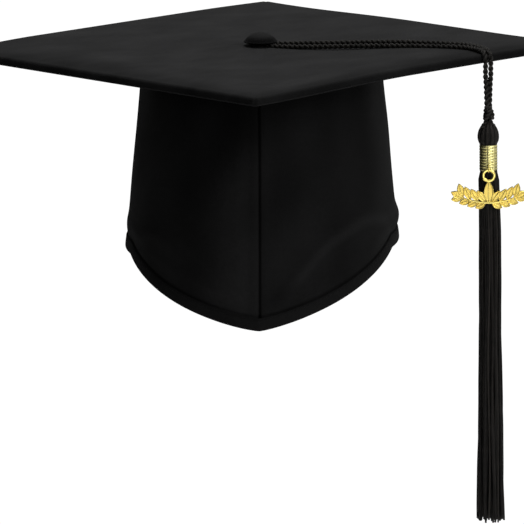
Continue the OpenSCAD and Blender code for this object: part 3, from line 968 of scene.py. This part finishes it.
def drape(a, z, rise):
    """How far the outer cloth stands out from the plain wall: sunk seams with soft welts beside
    them, a crease over the binding, slow waves in front, a swell parallel to the hem, and the
    gathers."""
    f = fold_angle(a)
    seam = np.minimum(f, 180 - f) * SEAM_MM
    left = (a % 360) > 180
    arc = a * ARC_MM
    free = smooth_step(seam / 14)
    front = smooth_step((84 - f) / 30)
    slow = np.where(left, unevenness(arc, z, 56, 5), unevenness(arc, z, 56, 11))
    slow = 0.5 + 0.5 * np.tanh(slow)
    sunk = -1.25 * hump(seam, 0.75) + 0.3 * hump(seam - 3.2, 2.2)
    sunk = sunk - 0.5 * hump(rise - BINDING_H - 0.7, 0.9) * (f < CASING_A)
    below = smooth_step((96 - z) / 40)
    clear = smooth_step((rise - BINDING_H) / 12) * free
    swell = np.where(left, 0.7, 1.7) * hump(rise - hem_line(f) + 4, 5.0) * free * below
    strip = np.where(left, 1.5, 0.0) * hump(f * SEAM_MM - 24, 11) * below * clear
    waves = (0.7 + 1.6 * front) * slow * clear
    return sunk + waves + swell * smooth_step((rise - 4) / 6) + strip + gathers(a, rise)


def crown_tone_and_painted_light(a, z, rise):
    """Painted light and shade on the crown: painted shadow under the board, painted shade in the
    creases and seams, painted highlights low down beside the front seam, on the swell over the hem
    and in two patches, with slow cloudy patches of tone."""
    f = fold_angle(a)
    left = (a % 360) > 180
    seam = np.minimum(f, 180 - f) * SEAM_MM
    cloudy = 0.22 * unevenness(a * ARC_MM, z, 40, 17)
    # Painted shadow of the board: darker towards the top, more on the left.
    shade = np.where(left, -0.5, -0.22) * smooth_step((z - 40) / 60)
    shade = shade - 0.35 * smooth_step((z - 84) / 14)
    # Painted shade in the crease over the binding and in the seams.
    crease = -0.55 * hump(rise - BINDING_H - 0.6, 1.1) - 0.6 * hump(seam, 0.8)
    # Painted highlight low down beside the front seam, mostly on the left.
    strip = np.where(left, 0.8, 0.1) * hump(f * SEAM_MM - 13, 14) * smooth_step((50 - z) / 42)
    line = rise - hem_line(f)
    # Painted highlight along the swell over the hem, mostly on the right.
    swell = np.where(left, 0.1, 0.9) * hump(line, 3.4) * smooth_step((f - 7) / 12) * (f < 100)
    # Painted highlight patches: low on the left, high on the right.
    highlight_patches = np.where(
        left, 0.3 * hump(f - 74, 8) * hump(z - 30, 25), 0.6 * hump(f - 66, 9) * hump(z - 84, 18)
    )
    return cloudy + shade + crease + strip + swell + highlight_patches


def crown_top(angles):
    """Height of the board's underside over each angle of the crown."""
    x, y, _ = crown_point(angles, CROWN_H, 0.0).T
    return CROWN_H + board_bow(x, y)


def wall(angles, rows, lift=0.0, below=0.0, crowd=1.0, top=None):
    """Heights and rises for a grid on the crown: rows from `lift` above the rim to `below` under
    the board, or to the height `top`; crowd above 1 puts more of them near the rim."""
    t = np.linspace(0, 1, rows)[:, None] ** crowd
    upper = crown_top(angles) - below if top is None else top
    rise = (upper - rim_z(angles) - lift) * t + lift
    return rim_z(angles) + rise, rise


def towards_ends(a0, a1, count, crowd=0.8):
    """Angles from a0 to a1 that lie closer together at both ends."""
    t = np.linspace(0, 1, count)
    return a0 + (a1 - a0) * (t - crowd * np.sin(2 * np.pi * t) / (2 * np.pi))


def crown_panels():
    """The two shaped cloth halves of the crown, which meet at the front and back seams."""
    for side, a0, a1 in (("left", -180, 0), ("right", 0, 180)):
        angles = towards_ends(a0, a1, 330)
        z, rise = wall(angles, 84, crowd=1.45)
        out = drape(angles, z, rise)
        inner = crown_point(angles, z, CLOTH_T - np.minimum(out, 0))
        shape = slab(crown_point(angles, z, -out), inner)
        # Painted light and shade on the crown's cloth, with its slow tone.
        tone_and_painted_light = crown_tone_and_painted_light(angles, z, rise).ravel()
        made = piece(f"crown_{side}_cloth", shape, CAP_CLOTH, "cap",
                     replaces=[f"crown_{side}_panel"], marks=np.concatenate([tone_and_painted_light, tone_and_painted_light]))


def stiffeners():
    """Stiffening cloth behind the front and sides of each half."""
    reach = CASING_A - 3
    for side, a0, a1 in (("left", -reach, -0.3), ("right", 0.3, reach)):
        angles = np.linspace(a0, a1, 110)
        z, _ = wall(angles, 26, 0.4, 0.3)
        inner = crown_point(angles, z, STIFF_IN + STIFF_T)
        shape = slab(crown_point(angles, z, STIFF_IN + 0.1), inner)
        made = piece(f"crown_{side}_stiffener", shape, LINING, "cap",
                     replaces=[f"crown_{side}_stiffening"])


def strip_round(angles, section, base="rim"):
    """A strip round the crown with a closed section of inset and rise, above the rim or the board's
    underside."""
    inset, rise = np.asarray(section, float).T
    start = rim_z(angles) if base == "rim" else crown_top(angles)
    return crown_point(angles[:, None], start[:, None] + rise, inset)


def rounded(section, step=0.35):
    """A closed section with its corners softened: a smooth line through its points and back."""
    p = np.asarray(section, float)
    return profile_between(np.concatenate([p, p[:1]]), step)[:-1]


def tapes():
    """The tapes that cover the front, back and top seams inside the crown."""
    upright = (
        ("front_tape", "front_seam_tape", -3.5, 3.5, 8.0, TAPE_IN),
        ("back_tape", "back_seam_tape", 177.0, 183.0, 19.0, STIFF_IN),
    )
    for name, replaced, a0, a1, rise, inset in upright:
        angles = np.linspace(a0, a1, 18)
        z, _ = wall(angles, 60, rise, 2)
        bow = 0.12 * hump((angles - (a0 + a1) / 2) / (a1 - a0), 0.3)
        inner = crown_point(angles, z, inset + TAPE_T - bow)
        shape = slab(crown_point(angles, z, inset - bow), inner)
        piece(name, shape, LINING, "cap", replaces=[replaced])
    angles = np.linspace(-178, 178, 260)
    section = rounded([
        [2.5, -0.7], [2.5, -0.1], [5.4, -0.05], [8.3, -0.1], [8.4, -0.6], [5.4, -0.75],
    ])
    piece("top_tape", solid(strip_round(angles, section, "top")), LINING, "cap",
          replaces=["crown_top_tape"])


def binding_bulge(a):
    """Pucker of the binding between its stitches."""
    return 0.07 * np.sin(np.radians(a) * 230)


def rim_binding():
    """The folded strip on the front rim: a U round the raw edge, soft at its folds, puckered by
    its stitches."""
    left = towards_ends(-107, 0, 170, -0.5)
    angles = np.concatenate([left[:-1], towards_ends(0, 107, 170, -0.5)])
    section = rounded([
        [-0.02, BINDING_H], [-0.35, BINDING_H - 0.3], [-0.62, 4.2], [-0.72, 1.6], [-0.6, -0.4],
        [0.4, -0.95], [1.8, -0.98], [2.9, -0.5], [3.3, 1.5], [3.25, 5.4], [2.75, 5.6], [2.62, 3],
        [2.5, 0.2], [1.4, -0.25], [0.1, -0.2], [-0.05, 1.2], [-0.04, 4.5],
    ])
    rings = strip_round(angles, section)
    pucker = binding_bulge(angles)[:, None] * (section[:, 1] / BINDING_H) * (section[:, 0] < 0)
    turn = np.radians(angles)[:, None]
    rings[..., 0] += pucker * np.sin(turn)
    rings[..., 1] -= pucker * np.cos(turn)
    piece("rim_bias_binding", solid(rings), TRIM_CLOTH, "cap",
          replaces=["rim_binding"])


def stitch(start, end, out, radius):
    """One stitch: a short thread that sinks in at both ends."""
    t = np.array([0, 0.12, 0.35, 0.65, 0.88, 1.0])[:, None]
    path = start + (end - start) * t + out * radius * (np.sin(np.pi * t) - 0.6)
    size = radius * np.array([0.35, 0.85, 1, 1, 0.85, 0.35])[:, None]
    return tube(path, np.broadcast_to(out, path.shape), size * np.ones((1, 6)), 6)


def stitch_row(name, line, out, pitch, length, radius, thread, body):
    """Stitches at an even pitch along a line, each standing on the side that `out` gives."""
    joined = evenly(np.concatenate([line, out], -1), pitch)
    way = np.gradient(joined[:, :3], axis=0)
    way /= np.linalg.norm(way, axis=1, keepdims=True)
    reach = way * length / 2
    shapes = [stitch(p[:3] - r, p[:3] + r, p[3:], radius) for p, r in zip(joined, reach)]
    return piece(name, together(shapes), thread, body)


def rim_stitching():
    """The sewn line near the upper edge of the binding."""
    angles = np.linspace(-106, 106, 600)
    line = strip_round(angles, [[-0.42, BINDING_H - 1.2]])[:, 0]
    turn = np.radians(angles)
    out = np.stack([np.sin(turn), -np.cos(turn), 0 * turn], -1)
    stitch_row("rim_stitching", line, out, 2.5, 1.9, 0.2, THREAD, "cap")


def elastic_back():
    """The gathered casing at the back of the rim, and the elastic inside it."""
    angles = np.linspace(CASING_A, 360 - CASING_A, 420)
    section = rounded([
        [-0.35, 0.6], [-0.5, -0.4], [0.6, -0.85], [2.6, -0.8], [3.5, 0.4], [3.6, 9], [3.5, 17.8],
        [2.98, 17.6], [2.95, 9], [2.9, 0.6], [1.4, -0.25], [0.0, -0.2],
    ], 0.6)
    rings = strip_round(angles, section)
    turn = np.radians(angles)[:, None]
    rise = section[:, 1]
    swell = gathers(angles[:, None], rise) * np.where(section[:, 0] > 2.9, -0.8, 1.0)
    swell = swell * np.where((section[:, 0] > 0.5) & (section[:, 0] < 3.0), 0.0, 1.0)
    rings[..., 0] += swell * np.sin(turn)
    rings[..., 1] -= swell * np.cos(turn)
    made = piece("elastic_casing_cloth", solid(rings), TRIM_CLOTH, "cap",
                 replaces=["elastic_casing"])
    angles = np.linspace(CASING_A + 1, 359 - CASING_A, 220)
    section = rounded([[1.75, 1], [1.7, 8], [1.75, 15], [2.6, 15], [2.65, 8], [2.6, 1]], 0.7)
    piece("elastic_webbing_band", solid(strip_round(angles, section)), ELASTIC, "cap",
          replaces=["elastic_band"])


def size_tab():
    """The blank woven tab at the back: a slip of satin that curls a little at its free end."""
    angles = np.linspace(174, 186, 24)
    z, rise = wall(angles, 16, 24.0, top=34.0)
    curl = 0.5 * smooth_step((34 - z) / 14)
    shape = slab(crown_point(angles, z, 2.1 + curl), crown_point(angles, z, 2.4 + curl))
    made = piece("blank_size_tab", shape, TAB_CLOTH, "cap", replaces=["size_tab"])


# ---- Button ----


def button_cloth():
    """The covered button: an arc of a circle that turns under at its rim, with faint pleats."""
    low = BUTTON_LOW[2]
    height, radius = BUTTON_HIGH[2] - low, BUTTON_HIGH[0]
    ball = (radius**2 + height**2) / (2 * height)
    middle = BUTTON_HIGH[2] - ball
    edge = math.asin((radius - 0.5) / ball)
    t = np.linspace(0.02, edge, 22)
    dome = np.stack([ball * np.sin(t), middle + ball * np.cos(t)], -1)
    under = [
        [radius - 0.05, low + 0.45], [radius - 0.5, low + 0.05], [radius - 1.6, low],
        [radius - 3, low + 0.3], [6.0, low + 0.3],
    ]
    profile = np.concatenate([dome, profile_between([dome[-1], *under], 0.3)[1:]])
    turn = np.arange(120) * 2 * np.pi / 120
    pleat = 0.012 * smooth_step((profile[:, :1] - 6) / 3) * np.cos(turn * 22 + np.sin(turn * 3))
    outer = turned(profile, 120, wave=pleat) * [1.05, 1.05, 1]
    inner = outer * [0.93, 0.93, 1] - [0, 0, 0.5]
    inner[..., 2] = np.maximum(inner[..., 2], low + 0.35)
    shape = slab(outer, inner, joined=True)
    out = np.hypot(shape.points[:, 0], shape.points[:, 1]) / radius
    # Painted shade: the cloth is painted darker over the outer part of the button, where the dome
    # turns down to its rim.
    piece("button_cloth", shape, CAP_CLOTH, "cap", replaces=["button_cover"],
          merge=True, marks=-0.85 * smooth_step((out - 0.62) / 0.3))


# ---- Tassel ----


def knot():
    """The overhand knot: a cord that goes twice round an upright axis while it winds three times
    through it, r = R + a cos 3t and z = h sin 3t, over a small filled core."""
    t = np.linspace(0, 2 * np.pi, 220)[:, None]
    r = 1.6 + 0.7 * np.cos(3 * t + 0.9) + 0.2 * np.sin(t + 1)
    path = np.concatenate([
        r * np.cos(2 * t + 0.5), r * np.sin(2 * t + 0.5), 3.3 * np.sin(3 * t) + 0.5 * np.cos(t)
    ], -1)
    middle = TASSEL + [0, 0, KNOT_Z - 0.7]
    path = path + middle
    across = np.concatenate([np.cos(2 * t), np.sin(2 * t), 0.3 + 0 * t], -1)
    turn = np.linspace(0.05, math.pi - 0.05, 14)
    core = solid(turned(np.stack([1.6 * np.sin(turn), 2.6 * np.cos(turn)], -1), 24, middle))
    cord_shape, marks = two_ply(path, across, 2.3, 14, 5.0)
    # Painted shade in the grooves between the plies, narrower here than on the cord.
    piece("tassel_knot_cord", together([cord_shape, core]), CORD_YARN, "knot",
          replaces=["tassel_knot"], marks=np.append(np.sqrt(marks), np.zeros(len(core.points))))


def neck_legs():
    """The two legs of cord from the knot into the head, close together at the top and spread over
    the head's shoulders."""
    legs = []
    for side in (-1, 1):
        points = [
            [side * 0.6, 0, 77.8], [side * 1.0, -0.3, 76.6], [side * 1.1, -0.5, 75.4],
            [side * 1.5, -0.9, 74.3], [side * 2.5, -1.9, 73.0], [side * 3.6, -3.0, 71.0],
        ]
        path = curve(np.array(points) + TASSEL, 0.3)
        across = np.broadcast_to([0.0, -1.0, 0.3], path.shape)
        legs.append(two_ply(path, across, 2.2, 12, 5.0))
    # Painted shade in the grooves between the plies.
    piece("neck_cord_legs", together([shape for shape, _ in legs]), CORD_YARN, "tassel",
          replaces=["neck_loop"], marks=np.concatenate([marks for _, marks in legs]))


HEAD_PROFILE = [
    [0.4, 74.5], [1.3, 74.35], [2.4, 73.7], [3.4, 72.7], [4.6, 71.0], [5.5, 69.0], [5.9, 66.9],
    [5.85, 64.9], [5.3, 63.1], [4.6, 61.7], [4.2, 60.0],
]


def strand_marks(strands, chance):
    """How light each strand is: one seeded number for all the points of a strand."""
    return np.concatenate([np.full(len(one.points), chance.random() ** 3) for one in strands])


def head():
    """The bulb of yarn above the band: strands laid side by side over a filled core, gathered into
    thirteen rounded bundles, |sin| of the angle, with sunk grooves between, where the strands are
    painted darker: painted shade."""
    chance = np.random.default_rng(21)
    profile = profile_between(HEAD_PROFILE, 0.7)
    count = 52
    strands, marks = [], []
    for k in range(count):
        sway = chance.uniform(-0.03, 0.03) * np.sin(np.linspace(0, np.pi, len(profile)))
        turn = 2 * np.pi * (k + chance.uniform(-0.25, 0.25)) / count + sway
        bundle = np.abs(np.sin(6.5 * turn + 0.5 * np.sin(2 * turn)))
        groove = 0.6 * (1 - bundle) * (profile[:, 0] / 5.9)
        r = profile[:, 0] - 0.36 + chance.uniform(-0.1, 0.08) - groove
        path = TASSEL + np.stack([r * np.cos(turn), r * np.sin(turn), profile[:, 1]], -1)
        out = np.stack([-np.sin(turn), np.cos(turn), 0 * turn], -1)
        made = tube(path, out, chance.uniform(0.4, 0.48), 6)
        strands.append(made)
        # Painted shade: strands in the grooves between the bundles are painted darker, each with a
        # random tone too.
        light = float(bundle.mean() ** 2) * chance.uniform(0.75, 1.1)
        marks.append(np.full(len(made.points), light))
    core = solid(turned(profile * [0.84, 1] - [0.1, 0], 40, TASSEL))
    marks.append(np.zeros(len(core.points)))
    piece("tassel_head_yarn", together(strands + [core]), SKIRT_YARN, "tassel",
          replaces=["tassel_head"], marks=np.concatenate(marks))


def tie():
    """The thread wound round the yarn under the band: a helix of seven turns."""
    t = np.linspace(0, 14 * np.pi, 420)
    path = TASSEL + np.stack([3.95 * np.cos(t), 3.95 * np.sin(t), 57.9 + 2.6 * t / t[-1]], -1)
    out = np.stack([np.cos(t), np.sin(t), 0 * t], -1)
    piece("neck_tie_thread", tube(path, out, 0.2, 6), CORD_YARN, "tassel",
          replaces=["neck_tie"])


def gilt_band():
    """The metallic sleeve: nine rounded ribs between two plain turned edges, with a lapped seam in
    front where the ribs step back."""
    low, high = BAND_LOW[2], BAND_HIGH[2]
    ribs, inner_r, outer_r = 9, 4.5, BAND_HIGH[0] - TASSEL[0]
    z = np.linspace(low + 0.35, high - 0.35, 9 * ribs + 1)
    lap = np.abs(np.sin(np.pi * ribs * (z - z[0]) / (z[-1] - z[0]))) ** 0.6
    outer = np.stack([outer_r - 0.36 * (1 - lap), z], -1)
    foot = [
        [inner_r, low + 0.2], [inner_r + 0.15, low], [outer_r - 0.25, low],
        [outer_r - 0.1, low + 0.12],
    ]
    crest = [
        [outer_r - 0.1, high - 0.12], [outer_r - 0.25, high], [inner_r + 0.15, high],
        [inner_r, high - 0.2], [inner_r, (low + high) / 2],
    ]
    profile = np.concatenate([foot, outer, crest])
    turn = np.arange(160) * 2 * np.pi / 160
    first, second = (np.degrees(turn) - seam for seam in BAND_SEAMS)
    seam = hump(first, 3.0) + hump(second, 2.0) * 0.6
    wave = -0.02 * seam * (profile[:, :1] > inner_r + 0.2)
    rings = turned(profile, 160, TASSEL, wave)
    sleeve = grid(np.concatenate([rings, rings[:1]]), joined=True).outward()
    piece("gilt_band", sleeve, GILT_WRAP, "tassel", replaces=["gold_band"], merge=True)


def band_stitches():
    """The two upright rows of dark stitches that close the band's lap."""
    shapes = []
    for degrees, radius, tall in zip(BAND_SEAMS, (0.2, 0.13), (0.5, 0.4)):
        a = math.radians(degrees)
        out = np.array([math.cos(a), math.sin(a), 0])
        for z in np.arange(BAND_LOW[2] + 2.2, BAND_HIGH[2] - 0.8, 1.56):
            at = TASSEL + out * 4.98 + [0, 0, z]
            shapes.append(stitch(at - [0, 0, tall], at + [0, 0, tall], out, radius))
    piece("band_stitching", together(shapes), SEAM_THREAD, "tassel",
          replaces=["band_seam_thread"])


def ring_of(centre, radius, section, axis, rows=96, sides=16):
    """A closed ring round an axis: a section of (out, along the axis) turned once."""
    t = np.linspace(0, 2 * np.pi, rows, endpoint=False)
    first, second = {"x": ([0, 1, 0], [0, 0, 1]), "y": ([1, 0, 0], [0, 0, 1])}[axis]
    normal = np.array({"x": [1, 0, 0], "y": [0, 1, 0]}[axis])
    out = np.cos(t)[:, None] * np.array(first) + np.sin(t)[:, None] * np.array(second)
    turn = np.arange(sides) * 2 * np.pi / sides
    wide, deep = section
    rings = centre + (radius + wide * np.cos(turn))[None, :, None] * out[:, None] + (
        deep * np.sin(turn)[None, :, None] * normal
    )
    return grid(np.concatenate([rings, rings[:1]]), joined=True).outward()


def centre_of(name):
    """Middle of a CAD node, in millimetres."""
    low, high = node_box(name)
    return (low + high) / 2


def charm_rings():
    """The wire eye on the band and the broad ring that hangs in it."""
    eye = ring_of(centre_of("charm_eye"), 2.0, (0.3, 0.3), "x", 64, 12)
    piece("charm_eye_wire", eye, GILT, "tassel", replaces=["charm_eye"], merge=True)
    ring = ring_of(centre_of("charm_ring"), RING_R, (0.85, 0.5), "y")
    piece("charm_hanging_ring", ring, GILT, "charm_drop",
          replaces=["charm_ring"], merge=True)


CHARM_T = 1.4
STEM_R, STEM_DROP, STEM_REACH = 38.0, 5.0, 14.8
LEAF_L, LEAF_W = 8.4, 4.2
MIDDLE_L, MIDDLE_W = 13.5, 5.6


def stem_y(x):
    """Height of the stem's arc at a distance from the middle."""
    return STEM_R - STEM_DROP - np.sqrt(STEM_R**2 - x * x)


def leaf(x, y, degrees, length, width, mirrored=False):
    """A leaf of two equal arcs, 2 w u (1 - u) wide on each side of its midrib. Its face rises in a
    quarter circle to a polished border, sinks to the ground and rises again to a midrib."""
    u = np.linspace(0, 1, 30)[:, None]
    t = np.linspace(-1, 1, 25)[None, :]
    half = 2 * width * u * (1 - u)
    edge = half * (1 - np.abs(t))
    roll = np.clip(edge / 0.3, 0, 1)
    face = CHARM_T * 0.93 * np.sqrt(1 - (1 - roll) ** 2)
    ground = smooth_step((edge - 0.36) / 0.22)
    rib = hump(half * t, 0.16) * smooth_step((0.94 - u) / 0.1)
    veins = 0.06 * np.sin(2 * np.pi * (u * length - np.abs(t) * half * 0.9) / 0.9)
    height = face - ground * (0.42 - 0.36 * rib + veins * (1 - rib))
    along, across = u * length + 0 * t, half * t
    a = math.radians(degrees)
    px = x + along * math.cos(a) - across * math.sin(a)
    pz = y + along * math.sin(a) + across * math.cos(a)
    if mirrored:
        px = -px
    front = np.stack([px, -height, pz], -1)
    back = np.stack([px, 0.0 * height, pz], -1)
    upper, lower = grid(front), grid(back)
    shape = Shape(
        np.concatenate([upper.points, lower.points]),
        np.concatenate([upper.quads, lower.quads[:, ::-1] + len(upper.points)]),
        np.concatenate([upper.quad_uv, lower.quad_uv[:, ::-1]]),
    ).outward()
    mask = (ground * (1 - rib)).ravel()
    return shape, np.concatenate([mask, 0 * mask])


def charm():
    """The gilt charm: a sprig with a bent stem, pairs of leaves along it and one upright leaf."""
    low, high = node_box("charm")
    hang = TASSEL + [0, high[1] - TASSEL[1], high[2] - MIDDLE_L + STEM_DROP + 1]
    leaves = []
    for mirrored in (False, True):
        for x in np.arange(1.5, 14.2, 4.2):
            lean = math.degrees(math.asin(x / STEM_R))
            leaves.append(leaf(x, stem_y(x), lean + 52, LEAF_L, LEAF_W, mirrored))
            leaves.append(leaf(x, stem_y(x), lean - 30, 0.8 * LEAF_L, 0.9 * LEAF_W, mirrored))
        tip = STEM_REACH - 1.5
        leaves.append(leaf(tip, stem_y(tip), 26, LEAF_L, LEAF_W, mirrored))
    leaves.append(leaf(0, -STEM_DROP - 1, 90, MIDDLE_L, MIDDLE_W))
    x = np.linspace(-STEM_REACH, STEM_REACH, 80)
    path = np.stack([x, 0 * x - CHARM_T / 2, stem_y(x)], -1)
    thin = 0.68 - 0.3 * (np.abs(x) / STEM_REACH)[:, None] ** 2
    stem = tube(path, np.broadcast_to([0.0, -1.0, 0.0], path.shape), thin * np.ones((1, 12)), 12)
    marks = np.concatenate([mask for _, mask in leaves] + [np.zeros(len(stem.points))])
    shape = together([made for made, _ in leaves] + [stem])
    shape.points = shape.points + hang
    piece("charm_sprig", shape, GILT, "charm_drop", replaces=["charm"], merge=True,
          marks=marks)


def skirt():
    """The tassel's skirt: four rings of long strands that start inside the band, lie close below it
    and spread a little to a ragged end. Each strand keeps its share of the skirt's radius, and
    wanders slowly in radius and angle."""
    chance = np.random.default_rng(4)
    top, base = SKIRT_TOP, SKIRT_END
    rings = ((1.0, 32), (0.78, 26), (0.55, 19), (0.3, 11))
    strands = []
    for share, count in rings:
        for k in range(count):
            end = base + abs(chance.normal(0, 1.7)) + chance.choice([0, 0, 0, 5]) * chance.random()
            z = np.linspace(top, end, 46)
            down = (top - z) / (top - base)
            outer = 4.0 + 1.25 * smooth_step((BAND_LOW[2] + 0.5 - z) / 3.5)
            outer = outer + 0.15 * down + 1.9 * down**2.2
            phase = chance.uniform(0, 2 * np.pi)
            slow = chance.uniform(1.2, 3.2)
            drift = chance.normal(0, 0.22)
            free = smooth_step(down / 0.25)
            turn = 2 * np.pi * (k + chance.uniform(-0.3, 0.3)) / count + share * 2
            turn = turn + free * (drift * down + 0.07 * np.sin(slow * np.pi * down * 2 + phase))
            r = outer * share * (1 + free * 0.07 * np.sin(slow * 4 * down + phase))
            path = TASSEL + np.stack([r * np.cos(turn) + 0.8 * free, r * np.sin(turn), z], -1)
            out = np.stack([-np.sin(turn), np.cos(turn), 0 * turn], -1)
            size = chance.uniform(0.52, 0.62) * (1 + 0.06 * np.sin(z * 1.1 + phase))
            strands.append(tube(path, out, size[:, None] * np.ones((1, 6)), 6))
    piece("tassel_skirt_yarn", together(strands), SKIRT_YARN, "tassel",
          replaces=["skirt_strands", "skirt_core"], marks=strand_marks(strands, chance))


def hardware():
    """The button's metal, which keeps its CAD shapes, gets its finish."""
    for name in ("button_shell", "button_plate", "button_neck", "button_washer", "button_keeper"):
        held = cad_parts[name]
        held.data.materials.clear()
        held.data.materials.append(STEEL)


board_card()
board_top_cloth()
board_bottom_cloth()
board_edge_seam()
rim_binding()
stiffeners()
crown_panels()
tapes()
rim_stitching()
elastic_back()
size_tab()
button_cloth()
hardware()
knot()
neck_legs()
head()
tie()
gilt_band()
band_stitches()
charm_rings()
charm()
skirt()
